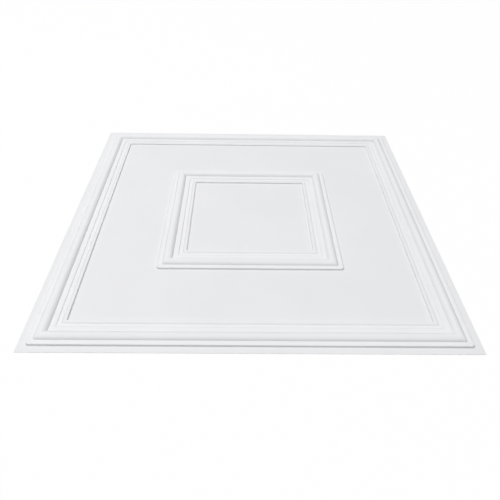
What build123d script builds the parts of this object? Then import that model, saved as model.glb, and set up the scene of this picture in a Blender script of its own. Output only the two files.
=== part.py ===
"""Drop-in ceiling tile: one vacuum-formed PVC sheet with two square mouldings, one inside the other."""
import os
from math import cos, radians, tan

from build123d import *

# Whole tile, mm. The face looks up +Z and the flat back of the border lies on z = 0.
TILE_SIDE = 603.0
SHEET = 0.7
BORDER_WIDTH = 10.5
CENTRE_FRAME_SIDE = 285.8

# Moulding section, from its outer foot towards the middle: a step, a bead, a band, a groove and a lip
STEP_HEIGHT = 2.5
STEP_WIDTH = 7.8
BEAD_WIDTH = 15.2
BEAD_RISE = 3.6
BAND_WIDTH = 7.7
GROOVE_DEPTH = 0.8
GROOVE_WIDTH = 6.3
LIP_RISE = 0.6
LIP_WIDTH = 5.5

# Lean of the formed walls from upright, in degrees, and the rounding of edges and plan corners, mm
DRAFT = 16.0
EDGE_RADIUS = 1.0
GROOVE_RADIUS = 0.45
STEP_CORNER = 5.0
BEAD_CORNER = 3.0
FIELD_CORNER = 1.5

# Largest share of a low wall that the rounding at one end of it may take
ROUNDED_SHARE = 0.45

# Heights of the sheet's face
border_face = SHEET
step_face = border_face + STEP_HEIGHT
groove_face = step_face - GROOVE_DEPTH
lip_face = groove_face + LIP_RISE
tile_height = step_face + BEAD_RISE

# Distances inward from the moulding's outer foot
lean = tan(radians(DRAFT))
half_turn = tan(radians(90 - DRAFT) / 2)
land = EDGE_RADIUS
bead_outer = STEP_WIDTH
bead_inner = bead_outer + BEAD_WIDTH
groove_outer = bead_inner + BAND_WIDTH
groove_inner = groove_outer + GROOVE_WIDTH
lip_inner = groove_inner + LIP_WIDTH
foot_inner = lip_inner + (lip_face - border_face) * lean
bead_radius = (BEAD_WIDTH**2 / 4 + BEAD_RISE**2) / (2 * BEAD_RISE)

# Half sides of the two mouldings, measured to the outer foot
moulding_halves = (TILE_SIDE / 2 - BORDER_WIDTH, CENTRE_FRAME_SIDE / 2)


def wall(start, outer, outer_face, inner_face, end, rounding):
    """Draw the sheet section of one wall that leaves the outer face at x = outer, with level sheet on both sides."""
    rise = inner_face - outer_face
    inner = outer - abs(rise) * lean
    shift = -SHEET * half_turn if rise > 0 else SHEET * half_turn
    room = ROUNDED_SHARE * abs(rise) / cos(radians(DRAFT)) / half_turn
    face = min(rounding, room)
    foot = min(rounding + SHEET, 2 * room)
    inner_back, outer_back = (0, foot) if rise > 0 else (foot, 0)
    with BuildLine() as outline:
        FilletPolyline(
            (start, outer_face),
            (outer, outer_face),
            (inner, inner_face),
            (end, inner_face),
            (end, inner_face - SHEET),
            (inner + shift, inner_face - SHEET),
            (outer + shift, outer_face - SHEET),
            (start, outer_face - SHEET),
            radius=(0, face, face, 0, 0, inner_back, outer_back, 0),
            close=True,
        )
    make_face(outline.edges())


def step_section(half):
    """Section of the step's wall, from the border to the line that its corner turns about."""
    corner = half - STEP_CORNER
    with BuildSketch(Plane.XZ.offset(-corner)) as section:
        wall(half + land, half, border_face, step_face, corner, EDGE_RADIUS)
    return section.sketch


def lip_section(half):
    """Section of the lip's inner wall, from the lip to the line that its corner turns about."""
    corner = half - foot_inner - FIELD_CORNER
    with BuildSketch(Plane.XZ.offset(-corner)) as section:
        wall(half - lip_inner + land, half - lip_inner, lip_face, border_face, corner, EDGE_RADIUS)
    return section.sketch


def bead_section(half, outer, inner):
    """Part between x = outer and x = inner of the section of the round bead, the band and the groove."""
    bead_middle = half - (bead_outer + bead_inner) / 2
    bead_start = half - bead_outer + land
    drop = half - groove_outer
    climb = half - groove_inner + LIP_RISE * lean
    groove_middle = (drop + climb) / 2
    with BuildSketch(Plane.XZ.offset(bead_outer + BEAD_CORNER - half)) as section:
        with BuildLine():
            crown = SagittaArc((half - bead_outer, step_face), (half - bead_inner, step_face), -BEAD_RISE)
            Line(crown @ 1, crown @ 0)
        make_face()
        with Locations(((bead_start + drop + land) / 2, step_face - SHEET / 2)):
            Rectangle(bead_start - drop - land, SHEET)
        with Locations((bead_middle, tile_height - bead_radius)):
            Circle(bead_radius - SHEET, mode=Mode.SUBTRACT)
        wall(drop + land, drop, step_face, groove_face, groove_middle, GROOVE_RADIUS)
        wall(groove_middle, climb, groove_face, lip_face, half - groove_inner - land, GROOVE_RADIUS)
        with Locations(((outer + inner) / 2, 0)):
            Rectangle(outer - inner, 2 * tile_height, mode=Mode.INTERSECT)
    return section.sketch


def flat_ring(half, hole_half, hole_corner, face):
    """Add level sheet between a square outside and a rounded square hole, its face at the given height."""
    with BuildSketch(Plane.XY.offset(face - SHEET)) as ring:
        Rectangle(2 * half, 2 * half)
        RectangleRounded(2 * hole_half, 2 * hole_half, hole_corner, mode=Mode.SUBTRACT)
    extrude(ring.sketch, amount=SHEET)


# Sections with the distance from the middle at which their corner starts
rounded_sections = []
mitred_sections = []
for half in moulding_halves:
    bead_corner = half - bead_outer - BEAD_CORNER
    rounded_sections += [
        (step_section(half), half - STEP_CORNER),
        (bead_section(half, half - bead_outer + land, bead_corner), bead_corner),
        (lip_section(half), half - foot_inner - FIELD_CORNER),
    ]
    mitred_sections.append((bead_section(half, bead_corner, half - groove_inner - land), bead_corner))

# One side and one corner of the walls whose corners are rounded in plan
with BuildPart() as rounded_quarter:
    for section, corner in rounded_sections:
        extrude(section, amount=2 * corner)
        revolve(section, axis=Axis((corner, corner, 0), (0, 0, 1)), revolution_arc=90)

# One side of the beads and grooves, whose corners are mitred like a picture frame's
with BuildPart() as mitred_quarter:
    for section, corner in mitred_sections:
        extrude(section, amount=2 * corner)
    split(bisect_by=Plane((0, 0, 0), x_dir=(0, 0, 1), z_dir=(1, -1, 0)))
    split(bisect_by=Plane((0, 0, 0), x_dir=(0, 0, 1), z_dir=(1, 1, 0)))

# The whole sheet: the four sides and the level parts between them
with BuildPart() as ceiling_tile:
    with PolarLocations(0, 4):
        add(rounded_quarter.part)
        add(mitred_quarter.part)
    level_half = TILE_SIDE / 2
    for half in moulding_halves:
        flat_ring(level_half, half + land, STEP_CORNER + land, border_face)
        flat_ring(half - STEP_CORNER, half - bead_outer + land, BEAD_CORNER + land, step_face)
        lip_corner = foot_inner - lip_inner + FIELD_CORNER + land
        flat_ring(half - groove_inner - land, half - lip_inner + land, lip_corner, lip_face)
        level_half = half - foot_inner - FIELD_CORNER
    with BuildSketch():
        Rectangle(2 * level_half, 2 * level_half)
    extrude(amount=SHEET)

ceiling_tile.part.label = "ceiling_tile"
os.makedirs("parts", exist_ok=True)
export_step(ceiling_tile.part, "parts/ceiling_tile.step")
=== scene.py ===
"""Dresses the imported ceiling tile: one formed sheet of matt white PVC, a studio and a camera."""
import logging
from dataclasses import dataclass, field
from enum import Enum
from math import copysign, cos, pi, radians, sin, tan
from typing import Any, Iterable, Union

import bpy
import numpy as np
from mathutils import Matrix, Vector


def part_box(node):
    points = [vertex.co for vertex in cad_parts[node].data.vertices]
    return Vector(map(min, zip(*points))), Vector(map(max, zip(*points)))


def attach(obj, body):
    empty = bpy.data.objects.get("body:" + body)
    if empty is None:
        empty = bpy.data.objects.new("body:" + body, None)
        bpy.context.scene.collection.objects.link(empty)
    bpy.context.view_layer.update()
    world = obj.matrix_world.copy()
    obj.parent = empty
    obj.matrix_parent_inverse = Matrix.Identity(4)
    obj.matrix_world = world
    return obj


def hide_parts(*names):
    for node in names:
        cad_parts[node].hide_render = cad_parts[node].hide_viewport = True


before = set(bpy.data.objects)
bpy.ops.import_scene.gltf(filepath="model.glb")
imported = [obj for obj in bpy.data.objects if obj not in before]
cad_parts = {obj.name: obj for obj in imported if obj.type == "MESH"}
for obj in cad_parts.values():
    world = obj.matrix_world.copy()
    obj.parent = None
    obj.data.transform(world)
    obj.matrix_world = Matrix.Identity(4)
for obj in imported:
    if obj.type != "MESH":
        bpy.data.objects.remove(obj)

LOG = logging.getLogger("ceiling_tile")
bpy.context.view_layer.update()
MM = 0.001
PHOTO_PIXELS = 500
SENSOR_MM = 36.0
INWARD = "inward"
NOISE_MIDDLE = 0.5

# Sockets of a Mix node that mixes colours
MIX_FACTOR, MIX_FIRST, MIX_SECOND, MIX_RESULT = 0, 6, 7, 2

Number = Union[int, float]
Array = np.ndarray
Colour = tuple[float, float, float]
Stops = Iterable[tuple[float, tuple[float, float, float, float]]]

WHITE: Colour = (1.0, 1.0, 1.0)


class SheetSide(Enum):
    """The two sides of the formed sheet."""

    FACE = "face"
    BACK = "back"


class PaintedShade(Enum):
    """Painted shade and highlights along the section, as shares of the lightest white."""

    # painted highlight on the groove's floor
    SUNK = 1.0
    # painted highlight on the flats beside the creases
    RAISED = 0.985
    # plain white of the border, the field and the back
    LEVEL = 0.955
    # painted shade at the groove's outer wall
    SOFT_CREASE = 0.915
    # painted shade in the creases
    CREASE = 0.86


PaintedShadeStop = tuple[float, PaintedShade]


def opaque(colour: Colour) -> tuple[float, float, float, float]:
    """Give a colour its full cover."""
    return (*colour, 1.0)


class Wire:
    """A shader socket for use in Python arithmetic; each operator adds one Math node."""

    def __init__(self, tree: "ShaderTree", socket: bpy.types.NodeSocket | None) -> None:
        """Keep the tree and the socket.

        Args:
            tree: shader tree that the socket is part of.
            socket: output socket to wrap, or none for a node without one.
        """
        self.tree = tree
        self.socket = socket

    def __add__(self, other: "Term") -> "Wire":
        """Sum."""
        return self.tree.math("ADD", self, other)

    def __radd__(self, other: "Term") -> "Wire":
        """Reflected sum."""
        return self.tree.math("ADD", other, self)

    def __sub__(self, other: "Term") -> "Wire":
        """Difference."""
        return self.tree.math("SUBTRACT", self, other)

    def __rsub__(self, other: "Term") -> "Wire":
        """Reflected difference."""
        return self.tree.math("SUBTRACT", other, self)

    def __mul__(self, other: "Term") -> "Wire":
        """Product."""
        return self.tree.math("MULTIPLY", self, other)

    def __rmul__(self, other: "Term") -> "Wire":
        """Reflected product."""
        return self.tree.math("MULTIPLY", other, self)

    def __truediv__(self, other: "Term") -> "Wire":
        """Quotient."""
        return self.tree.math("DIVIDE", self, other)

    def __rtruediv__(self, other: "Term") -> "Wire":
        """Reflected quotient."""
        return self.tree.math("DIVIDE", other, self)


Term = Union[Wire, Number]


class ShaderTree:
    """A node tree that is filled by expressions and by one method for every other node."""

    def __init__(self, owner: Any) -> None:
        """Empty the owner's node tree.

        Args:
            owner: material or world whose nodes are to be written.
        """
        owner.use_nodes = True
        self.nodes = owner.node_tree.nodes
        self.links = owner.node_tree.links
        self.nodes.clear()

    def add(
        self,
        kind: str,
        settings: dict[str, Any] | None = None,
        sockets: dict[Any, Any] | None = None,
        output: int | str = 0,
    ) -> Wire:
        """Add one node.

        Args:
            kind: Blender's name of the node type, without the leading ShaderNode.
            settings: properties set first; "stops" fills a colour ramp with (place, colour) pairs.
            sockets: values or wires for the node's inputs, by name or number.
            output: the output to give back.

        Returns:
            The chosen output, wrapped.
        """
        node = self.nodes.new("ShaderNode" + kind)
        for name, value in (settings or {}).items():
            if name == "stops":
                self._fill_ramp(node.color_ramp, value)
            else:
                setattr(node, name, value)
        for name, value in (sockets or {}).items():
            if isinstance(value, Wire):
                self.links.new(value.socket, node.inputs[name])
            else:
                node.inputs[name].default_value = value
        return Wire(self, node.outputs[output] if node.outputs else None)

    def math(self, operation: str, first: Term, second: Term) -> Wire:
        """Add a Math node for two values.

        Args:
            operation: Blender's name of the operation.
            first: first value.
            second: second value.

        Returns:
            The result.
        """
        return self.add("Math", {"operation": operation}, {0: first, 1: second})

    @staticmethod
    def _fill_ramp(ramp: bpy.types.ColorRamp, stops: Stops) -> None:
        """Give a ramp its stops.

        Args:
            ramp: the ramp of a new Color Ramp node, which has two stops.
            stops: (place, colour) pairs in order.
        """
        stops = list(stops)
        while len(ramp.elements) < len(stops):
            ramp.elements.new(1.0)
        for element, (place, colour) in zip(ramp.elements, stops):
            element.position = place
            element.color = colour


@dataclass(frozen=True)
class WhitePvc:
    """Matt white rigid PVC off a forming mould: even, faint grain, shade painted in the creases."""

    slot: str = "white_pvc"
    colour: Colour = (0.899, 0.902, 0.916)
    clouded: Colour = (0.880, 0.883, 0.897)
    cloud_size: float = 0.11
    cloud_detail: float = 3.0
    cloud_edges: tuple[float, float] = (0.35, 0.65)
    grain_size: float = 0.9 * MM
    grain_detail: float = 2.0
    grain_height: float = 0.012 * MM
    grain_strength: float = 0.5
    roughness: float = 0.5
    roughness_swing: float = 0.10
    specular: float = 0.25

    def material(self, painted_shading: list[PaintedShadeStop], feet: tuple[float, float]) -> bpy.types.Material:
        """Make the material.

        Clouds of a hand's width shift the white and the gloss a little, and a grain finer than a
        millimetre breaks up the highlights. The mouldings' creases get painted shade, and the flats
        beside them painted highlights.

        Args:
            painted_shading: (distance from a moulding's outer foot, tone) pairs in order.
            feet: distances of the two outer feet from the tile's edge.

        Returns:
            The finished material.
        """
        material = bpy.data.materials.new(self.slot)
        tree = ShaderTree(material)
        place = tree.add("TexCoord", output="Object")
        clouds = self._noise(tree, place, self.cloud_size, self.cloud_detail)
        grain = self._noise(tree, place, self.grain_size, self.grain_detail)
        low, high = self.cloud_edges
        whites = [(low, opaque(self.clouded)), (high, opaque(self.colour))]
        colour = tree.add("ValToRGB", {"stops": whites}, {"Fac": clouds})
        # the white times the mouldings' painted shade and painted highlights
        painted_shade_colour = tree.add(
            "Mix",
            {"data_type": "RGBA", "blend_type": "MULTIPLY"},
            {MIX_FACTOR: 1.0, MIX_FIRST: colour, MIX_SECOND: self._painted_shade_ramp(tree, painted_shading, feet)},
            MIX_RESULT,
        )
        swing = self.roughness_swing
        uneven = self.roughness + (clouds - NOISE_MIDDLE) * swing
        roughness = uneven + (grain - NOISE_MIDDLE) * swing
        bump = tree.add(
            "Bump",
            None,
            {"Height": grain, "Strength": self.grain_strength, "Distance": self.grain_height},
            "Normal",
        )
        surface = tree.add(
            "BsdfPrincipled",
            None,
            {
                "Base Color": painted_shade_colour,
                "Roughness": roughness,
                "Normal": bump,
                "Specular IOR Level": self.specular,
            },
        )
        tree.add("OutputMaterial", None, {"Surface": surface})
        return material

    @staticmethod
    def _noise(tree: ShaderTree, place: Wire, size: float, detail: float) -> Wire:
        """Add a noise in three dimensions.

        Args:
            tree: shader tree of the material.
            place: coordinates to read it at.
            size: size of its largest spots.
            detail: number of finer layers on top.

        Returns:
            The noise, about NOISE_MIDDLE on average.
        """
        sockets = {"Vector": place, "Scale": 1 / size, "Detail": detail}
        return tree.add("TexNoise", {"noise_dimensions": "3D"}, sockets)

    @staticmethod
    def _painted_shade_ramp(tree: ShaderTree, painted_shading: list[PaintedShadeStop], feet: tuple[float, float]) -> Wire:
        """Add the painted shade ramp, read at the distance from the nearer moulding's outer foot.

        That is the distance from the tile's edge less the first foot's, and past the middle of the
        field less the second foot's.

        Args:
            tree: shader tree of the material.
            painted_shading: (distance from a moulding's outer foot, tone) pairs in order.
            feet: distances of the two outer feet from the tile's edge.

        Returns:
            The painted shade or highlight as a grey.
        """
        first, second = feet
        start, end = painted_shading[0][0], painted_shading[-1][0]
        reach = end - start
        inward = tree.add("Attribute", {"attribute_name": INWARD}, output="Fac")
        past_field = tree.math("GREATER_THAN", inward, (first + second + end) / 2)
        along = inward - first - past_field * (second - first)
        # greys of the painted shade in the creases and the painted highlights beside them
        greys = [((place - start) / reach, opaque((tone.value,) * 3)) for place, tone in painted_shading]
        return tree.add("ValToRGB", {"stops": greys}, {"Fac": (along - start) / reach})


@dataclass(frozen=True)
class Moulding:
    """Section of the square moulding in metres: a step, a bead, a band, a groove and a lip."""

    step_height: float = 2.5 * MM
    step_width: float = 7.8 * MM
    bead_width: float = 15.2 * MM
    bead_rise: float = 3.6 * MM
    band_width: float = 7.7 * MM
    groove_depth: float = 0.8 * MM
    groove_width: float = 6.3 * MM
    lip_rise: float = 0.6 * MM
    lip_width: float = 5.5 * MM
    draft: float = radians(16.0)
    groove_draft: float = radians(45.0)
    edge_radius: float = 1.0 * MM
    groove_radius: float = 0.9 * MM
    bead_foot_radius: float = 0.8 * MM
    rounded_share: float = 0.45
    bead_points: int = 28
    step_corner: float = 5.0 * MM
    bead_corner: float = 3.0 * MM
    field_corner: float = 1.5 * MM
    mitre_radius: float = 0.4 * MM
    foot_margin: float = 1.5 * MM
    wall_margin: float = 1.0 * MM
    mitre_margin: float = 2.5 * MM
    # Where the painted crease shade sits, and how far it and the painted highlights reach
    crease_near: float = 0.7 * MM
    crease_reach: float = 1.7 * MM
    flank_reach: float = 5.0 * MM

    @property
    def lip_height(self) -> float:
        """Height of the lip above the border."""
        return self.step_height - self.groove_depth + self.lip_rise

    @property
    def bead_end(self) -> float:
        """Distance from the outer foot to the bead's inner foot."""
        return self.step_width + self.bead_width

    @property
    def band_end(self) -> float:
        """Distance from the outer foot to the groove's outer edge."""
        return self.bead_end + self.band_width

    @property
    def groove_end(self) -> float:
        """Distance from the outer foot to the groove's inner edge."""
        return self.band_end + self.groove_width

    @property
    def lip_end(self) -> float:
        """Distance from the outer foot to the lip's inner edge."""
        return self.groove_end + self.lip_width

    @property
    def width(self) -> float:
        """Distance from the outer foot to the inner foot."""
        return self.lip_end + self.lip_height * tan(self.draft)

    def knots(self, outer_foot: float, side: SheetSide, sheet: float) -> Array:
        """Corner points of the section line, from the outer foot to the inner foot.

        Args:
            outer_foot: distance of the outer foot from the tile's edge.
            side: face or back of the sheet.
            sheet: thickness of the sheet.

        Returns:
            Rows of distance from the edge, height above the border's face, and rounding.
        """
        drop = sheet if side is SheetSide.BACK else 0.0
        step, lip = self.step_height, self.lip_height
        groove = step - self.groove_depth
        soft, lean = self.groove_radius, self.groove_draft
        climb = self.groove_end - self.lip_rise * tan(lean)
        line = np.vstack(
            (
                self._wall(0.0, 0.0, step, self.edge_radius, drop, self.draft),
                self._bead(drop),
                self._wall(self.band_end, step, groove, soft, drop, lean),
                self._wall(climb, groove, lip, soft, drop, lean),
                self._wall(self.lip_end, lip, 0.0, self.edge_radius, drop, self.draft),
            )
        )
        line[:, 0] += outer_foot
        return line

    def _wall(
        self, place: float, before: float, after: float, rounding: float, drop: float, draft: float
    ) -> Array:
        """The two corner points of a leaning wall.

        The back's wall is the face's moved down by the sheet and sideways by the sheet times the
        tangent of half the wall's turn, so the sheet is even. On the face both corners are rounded
        alike. On the back the foot's rounding is larger by the sheet and the top's is none. A low
        wall's roundings take no more than rounded_share of it each, or twice that where there is
        only one.

        Args:
            place: distance from the outer foot at which the face leaves the level before the wall.
            before: height of the level before the wall.
            after: height of the level after the wall.
            rounding: rounding of the face's corners.
            drop: how far the sheet's side lies below the face.
            draft: lean of the wall from upright.

        Returns:
            Two rows of distance from the outer foot, height and rounding.
        """
        rise = after - before
        half_turn = tan((pi / 2 - draft) / 2)
        room = self.rounded_share * abs(rise) / cos(draft) / half_turn
        top = 0.0 if drop else min(rounding, room)
        foot = min(rounding + drop, 2 * room) if drop else top
        first, last = (foot, top) if rise > 0 else (top, foot)
        moved = place + copysign(drop * half_turn, rise)
        ended = moved + abs(rise) * tan(draft)
        return np.array(((moved, before - drop, first), (ended, after - drop, last)))

    def _bead(self, drop: float) -> Array:
        """Points on the bead's round, an arc through its two feet that rises by bead_rise.

        The arc's radius is (w*w/4 + h*h) / 2h for width w and rise h, and the back's is less by the
        sheet.

        Args:
            drop: how far the sheet's side lies below the face.

        Returns:
            Rows of distance from the outer foot, height and rounding, which only the feet have, and
            only on the face.
        """
        radius = (self.bead_width**2 / 4 + self.bead_rise**2) / (2 * self.bead_rise)
        centre = self.step_height + self.bead_rise - radius
        foot = self.step_height - drop - centre
        side_radius = radius - drop
        reach = np.arccos(foot / side_radius)
        angle = np.linspace(-reach, reach, self.bead_points)
        place = self.step_width + self.bead_width / 2 + side_radius * np.sin(angle)
        rounding = np.zeros_like(angle)
        rounding[[0, -1]] = 0.0 if drop else self.bead_foot_radius
        return np.column_stack((place, centre + side_radius * np.cos(angle), rounding))

    def painted_shading(self) -> list[PaintedShadeStop]:
        """Painted shade in the creases and down the bead's inner flank, painted highlights beside.

        Returns:
            Pairs of distance from the outer foot and tone, in order.
        """
        near, reach, flank = self.crease_near, self.crease_reach, self.flank_reach
        groove_wall = self.band_end + self.groove_depth * tan(self.groove_draft) / 2
        # Each row: place, reach, tone before, painted shade at the crease, tone after
        creases = [
            (0.0, reach, PaintedShade.LEVEL, PaintedShade.CREASE, PaintedShade.RAISED),
            (self.step_width + near, reach, PaintedShade.RAISED, PaintedShade.CREASE, PaintedShade.RAISED),
            (self.bead_end - near, flank, PaintedShade.RAISED, PaintedShade.CREASE, PaintedShade.RAISED),
            (groove_wall, reach, PaintedShade.RAISED, PaintedShade.SOFT_CREASE, PaintedShade.SUNK),
            (self.groove_end + near, reach, PaintedShade.SUNK, PaintedShade.CREASE, PaintedShade.RAISED),
            (self.width, reach, PaintedShade.RAISED, PaintedShade.CREASE, PaintedShade.LEVEL),
        ]
        return [
            stop
            for place, fall, before, tone, after in creases
            for stop in ((place - fall, before), (place, tone), (place + reach, after))
        ]

    def plan_corners(self, outer_foot: float) -> list[tuple[float, float]]:
        """Radius of the square's corners along the section.

        Round a wall the radius falls by as much as the section moves in, so the corner turns about
        one point. At the mitred bead, band and groove it is tight.

        Args:
            outer_foot: distance of the outer foot from the tile's edge.

        Returns:
            Pairs of distance from the edge and corner radius, in order.
        """
        step_top = self.step_height * tan(self.draft)
        tight, margin = self.mitre_radius, self.wall_margin
        pairs = [
            (-self.foot_margin, self.step_corner + self.foot_margin),
            (0.0, self.step_corner),
            (step_top + margin, self.step_corner - step_top - margin),
            (self.step_width - margin, self.bead_corner + margin),
            (self.step_width + self.bead_corner - tight, tight),
            (self.lip_end - self.mitre_margin, tight),
            (self.lip_end - margin, self.field_corner + self.width - self.lip_end + margin),
            (self.width, self.field_corner),
            (self.width + margin, self.field_corner - margin),
        ]
        return [(outer_foot + place, radius) for place, radius in pairs]


@dataclass
class FormedTile:
    """The whole tile: one sheet whose section line is carried round a square."""

    finish: WhitePvc
    moulding: Moulding = field(default_factory=Moulding)
    sheet: float = 0.7 * MM
    border_width: float = 10.5 * MM
    centre_frame_side: float = 285.8 * MM
    rim_corner: float = 0.5 * MM
    rim_round_face: float = 0.25 * MM
    rim_round_back: float = 0.1 * MM
    crease_support: float = 0.25 * MM
    support_share: float = 0.3
    soft_turn: float = radians(6.0)
    least_step: float = 0.01 * MM
    round_steps: int = 6
    side_steps: int = 28
    corner_steps: int = 8
    node: str = "ceiling_tile"

    def __post_init__(self) -> None:
        """Read the tile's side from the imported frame."""
        low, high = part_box(self.node)
        self.half = (high[0] - low[0]) / 2

    @property
    def feet(self) -> tuple[float, float]:
        """Distances of the two mouldings' outer feet from the tile's edge."""
        return self.border_width, self.half - self.centre_frame_side / 2

    def section_line(self, side: SheetSide) -> Array:
        """Section line of one side of the sheet, from half way up the cut edge to the middle.

        Args:
            side: face or back of the sheet.

        Returns:
            Rows of distance from the edge and height above the border's back.
        """
        face = side is SheetSide.FACE
        level = 0.0 if face else -self.sheet
        rounding = self.rim_round_face if face else self.rim_round_back
        start = [(0.0, -self.sheet / 2, 0.0), (0.0, level, rounding)]
        frames = [self.moulding.knots(foot, side, self.sheet) for foot in self.feet]
        field_middle = [((frames[0][-1, 0] + frames[1][0, 0]) / 2, level, 0.0)]
        end = [((frames[1][-1, 0] + self.half) / 2, level, 0.0), (self.half, level, 0.0)]
        line = self._rounded(np.vstack((start, frames[0], field_middle, frames[1], end)))
        line[:, 1] += self.sheet
        return line

    def _rounded(self, knots: Array) -> Array:
        """Round the corners of a line of straight runs.

        A corner that turns by t is replaced by an arc of radius r that starts r*tan(t/2) before it.
        Its points are the start plus r times the turned tangent's integral, the differences of sine
        and cosine. Two points beside every sharp corner keep the flats next to it flat in the
        shading, and points that all but coincide are left out.

        Args:
            knots: rows of place, height and rounding.

        Returns:
            Rows of place and height.
        """
        point, radius = knots[:, :2], knots[1:-1, 2]
        run = np.diff(point, axis=0)
        length = np.hypot(run[:, 0], run[:, 1])
        heading = np.arctan2(run[:, 1], run[:, 0])
        turn = np.diff(heading)
        cut = radius * np.tan(np.abs(turn) / 2)
        unit = run / length[:, None]
        start = point[1:-1] - unit[:-1] * cut[:, None]
        share = np.linspace(0.0, 1.0, self.round_steps + 1)
        angle = heading[:-1, None] + turn[:, None] * share
        swing = (radius * np.sign(turn))[:, None]
        arc_x = start[:, :1] + swing * (np.sin(angle) - np.sin(heading[:-1, None]))
        arc_y = start[:, 1:] + swing * (np.cos(heading[:-1, None]) - np.cos(angle))
        end = np.column_stack((arc_x[:, -1], arc_y[:, -1]))
        straight = length - np.append(0.0, cut) - np.append(cut, 0.0)
        spare = np.minimum(self.crease_support, self.support_share * straight)
        sharp = np.abs(turn) > self.soft_turn
        before = start - unit[:-1] * (spare[:-1] * sharp)[:, None]
        after = end + unit[1:] * (spare[1:] * sharp)[:, None]
        x = np.hstack((before[:, :1], arc_x, after[:, :1])).ravel()
        y = np.hstack((before[:, 1:], arc_y, after[:, 1:])).ravel()
        line = np.vstack((point[:1], np.column_stack((x, y)), point[-1:]))
        step = np.hypot(*np.diff(line, axis=0).T)
        return line[np.append(True, step > self.least_step)]

    def corner_radius(self, place: Array) -> Array:
        """Radius of the plan's corners at given distances from the edge.

        Args:
            place: distances from the tile's edge.

        Returns:
            Corner radii, joined by straight lines between the mouldings' own values.
        """
        pairs = [(0.0, self.rim_corner)]
        for foot in self.feet:
            pairs += self.moulding.plan_corners(foot)
        pairs.append((self.half, 0.0))
        known_place, known_radius = np.array(pairs).T
        return np.minimum(np.interp(place, known_place, known_radius), self.half - place)

    def loop(self) -> tuple[Array, Array]:
        """The two parts of a rounded square of half side a and corner radius c.

        A point of it is (a - c) times the square's own point plus c times the round's direction.

        Returns:
            The square's points and the round's directions, going round once.
        """
        along = np.linspace(-1.0, 1.0, self.side_steps + 1)
        swing = np.linspace(0.0, pi / 2, self.corner_steps + 1)[1:-1]
        one, none = np.ones_like(along), np.zeros_like(along)
        full = np.ones_like(swing)
        square = np.column_stack((np.append(one, full), np.append(along, full)))
        bulge = np.column_stack((np.append(one, np.cos(swing)), np.append(none, np.sin(swing))))
        turns = [
            np.array(((cos(angle), sin(angle)), (-sin(angle), cos(angle))))
            for angle in (0.0, pi / 2, pi, 3 * pi / 2)
        ]
        return (
            np.vstack([square @ turn for turn in turns]),
            np.vstack([bulge @ turn for turn in turns]),
        )

    def surface(self) -> tuple[Array, Array, Array, Array]:
        """Points and faces of the closed sheet.

        The section line runs over the face from the middle to the edge and along the back to the
        middle again. Each of its points becomes a rounded square of its own half side, height and
        corner radius, and neighbouring squares are joined by faces.

        Returns:
            Vertices, four-sided faces, the triangles that close the two middles, and how far in
            from the tile's edge each vertex lies on the face, which is none on the back.
        """
        face = self.section_line(SheetSide.FACE)[::-1]
        back = self.section_line(SheetSide.BACK)
        line = np.vstack((face, back[1:]))
        place, height = line[1:-1].T
        square, bulge = self.loop()
        corner = self.corner_radius(place)
        plan = np.multiply.outer(self.half - place - corner, square)
        plan += np.multiply.outer(corner, bulge)
        rings, count = plan.shape[:2]
        level = np.broadcast_to(height[:, None, None], (rings, count, 1))
        grid = np.concatenate((plan, level), axis=2).reshape(-1, 3)
        middles = np.array(((0.0, 0.0, line[0, 1]), (0.0, 0.0, line[-1, 1])))
        vertices = np.vstack((grid, middles))
        ring = np.arange(rings - 1)[:, None] * count
        following = ring + count
        here = np.arange(count)
        ahead = np.roll(here, -1)
        quads = np.stack((ring + here, following + here, following + ahead, ring + ahead), axis=2)
        last = (rings - 1) * count
        top = np.column_stack((here, ahead, np.full(count, rings * count)))
        bottom = np.column_stack((last + ahead, last + here, np.full(count, rings * count + 1)))
        on_face = np.where(np.arange(rings) < len(face), place, 0.0)
        inward = np.append(np.repeat(on_face, count), (self.half, 0.0))
        return vertices, quads.reshape(-1, 4), np.vstack((top, bottom)), inward

    def build(self) -> bpy.types.Object:
        """Make the tile's object, dressed and tied to the frame.

        Returns:
            The finished piece.
        """
        vertices, quads, triangles, inward = self.surface()
        mesh = bpy.data.meshes.new("formed_sheet")
        mesh.from_pydata(vertices.tolist(), [], quads.tolist() + triangles.tolist())
        mesh.polygons.foreach_set("use_smooth", np.ones(len(mesh.polygons), dtype=bool))
        # distance in from the edge, which places the painted shade and highlights
        mesh.attributes.new(INWARD, "FLOAT", "POINT").data.foreach_set("value", inward)
        mesh.materials.append(self.finish.material(self.moulding.painted_shading(), self.feet))
        mesh.update()
        piece = bpy.data.objects.new("formed_sheet", mesh)
        bpy.context.scene.collection.objects.link(piece)
        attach(piece, "root")
        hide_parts(self.node)
        return piece


@dataclass(frozen=True)
class PhotoCamera:
    """The photograph's camera, worked out from the tile's corners, in metres and degrees."""

    place: tuple[float, float, float] = (-0.0152, -0.7044, 0.5093)
    azimuth: float = -1.10
    elevation: float = 39.89
    roll: float = 1.18
    focal_pixels: float = 498.8
    middle_pixel: float = 247.9
    nearest: float = 0.01

    def build(self) -> bpy.types.Object:
        """Make the camera and give it to the scene.

        Returns:
            The camera's object.
        """
        turn, rise, tilt = radians(self.azimuth), radians(self.elevation), radians(self.roll)
        back = Vector((sin(turn) * cos(rise), -cos(turn) * cos(rise), sin(rise)))
        level = Vector((cos(turn), sin(turn), 0.0))
        upright = back.cross(level)
        right = cos(tilt) * level + sin(tilt) * upright
        up = cos(tilt) * upright - sin(tilt) * level
        data = bpy.data.cameras.new("photo_camera")
        data.sensor_width = SENSOR_MM
        data.lens = self.focal_pixels / PHOTO_PIXELS * SENSOR_MM
        data.shift_x = 0.5 - self.middle_pixel / PHOTO_PIXELS
        data.clip_start = self.nearest
        camera = bpy.data.objects.new("photo_camera", data)
        turned = Matrix((right, up, back)).transposed().to_4x4()
        camera.matrix_world = Matrix.Translation(self.place) @ turned
        bpy.context.scene.collection.objects.link(camera)
        bpy.context.scene.camera = camera
        return camera


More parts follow.
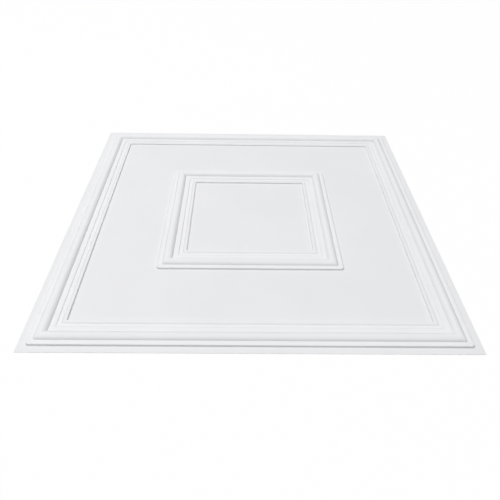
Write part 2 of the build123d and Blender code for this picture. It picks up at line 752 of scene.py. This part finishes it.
@dataclass(frozen=True)
class Studio:
    """A pale floor under one broad soft lamp, a little to the left, and a faint even sky."""

    floor_half: float = 6.0
    floor_drop: float = 0.05 * MM
    floor_colour: Colour = (0.95, 0.95, 0.95)
    floor_glow: float = 0.97
    lamp_place: tuple[float, float, float] = (-0.5, 0.05, 2.6)
    lamp_size: float = 5.0
    lamp_power: float = 137.5
    sky_strength: float = 0.03

    def build(self) -> None:
        """Make the floor, the lamp and the sky."""
        self._floor()
        self._lamp()
        self._sky()
        bpy.context.scene.view_settings.view_transform = "Standard"

    def _floor(self) -> None:
        """Lay a level floor just under the tile, shown nearly plain white, so that shadows stay."""
        corners = np.array(((-1, -1, 0), (1, -1, 0), (1, 1, 0), (-1, 1, 0))) * self.floor_half
        corners -= (0.0, 0.0, self.floor_drop)
        mesh = bpy.data.meshes.new("floor")
        mesh.from_pydata(corners.tolist(), [], [(0, 1, 2, 3)])
        material = bpy.data.materials.new("pale_floor")
        tree = ShaderTree(material)
        matt = tree.add("BsdfDiffuse", None, {"Color": opaque(self.floor_colour)})
        glow = tree.add("Emission", None, {"Color": opaque(WHITE), "Strength": 1.0})
        seen = self._shown(tree) * self.floor_glow
        surface = tree.add("MixShader", None, {0: seen, 1: matt, 2: glow})
        tree.add("OutputMaterial", None, {"Surface": surface})
        mesh.materials.append(material)
        floor = bpy.data.objects.new("floor", mesh)
        bpy.context.scene.collection.objects.link(floor)

    @staticmethod
    def _shown(tree: ShaderTree) -> Wire:
        """Mark the rays that show the background: the camera's and those of gloss and glass.

        Args:
            tree: shader tree of the floor or the sky.

        Returns:
            One for such a ray and none for a ray that carries light.
        """
        kinds = ("Is Camera Ray", "Is Glossy Ray", "Is Transmission Ray")
        camera, gloss, glass = (tree.add("LightPath", output=kind) for kind in kinds)
        return camera + gloss + glass

    def _lamp(self) -> None:
        """Hang the soft lamp and turn it to the middle of the tile."""
        data = bpy.data.lights.new("soft_lamp", "AREA")
        data.shape = "SQUARE"
        data.size = self.lamp_size
        data.energy = self.lamp_power
        lamp = bpy.data.objects.new("soft_lamp", data)
        lamp.location = self.lamp_place
        lamp.rotation_euler = Vector(self.lamp_place).to_track_quat("Z", "Y").to_euler()
        bpy.context.scene.collection.objects.link(lamp)

    def _sky(self) -> None:
        """Light the scene evenly from all round, and show plain white to the camera."""
        world = bpy.data.worlds.new("studio")
        bpy.context.scene.world = world
        tree = ShaderTree(world)
        colour = opaque(WHITE)
        light = tree.add("Background", None, {"Color": colour, "Strength": self.sky_strength})
        white = tree.add("Background", None, {"Color": colour, "Strength": 1.0})
        surface = tree.add("MixShader", None, {0: self._shown(tree), 1: light, 2: white})
        tree.add("OutputWorld", None, {"Surface": surface})


def main() -> None:
    """Build the tile, the studio and the camera in order, and report each piece."""
    logging.basicConfig(level=logging.INFO, format="%(name)s: %(message)s")
    tile = FormedTile(WhitePvc()).build()
    LOG.info("%s: %d faces", tile.name, len(tile.data.polygons))
    Studio().build()
    camera = PhotoCamera().build()
    LOG.info("%s: lens %.1f mm", camera.name, camera.data.lens)


if __name__ == "__main__":
    main()
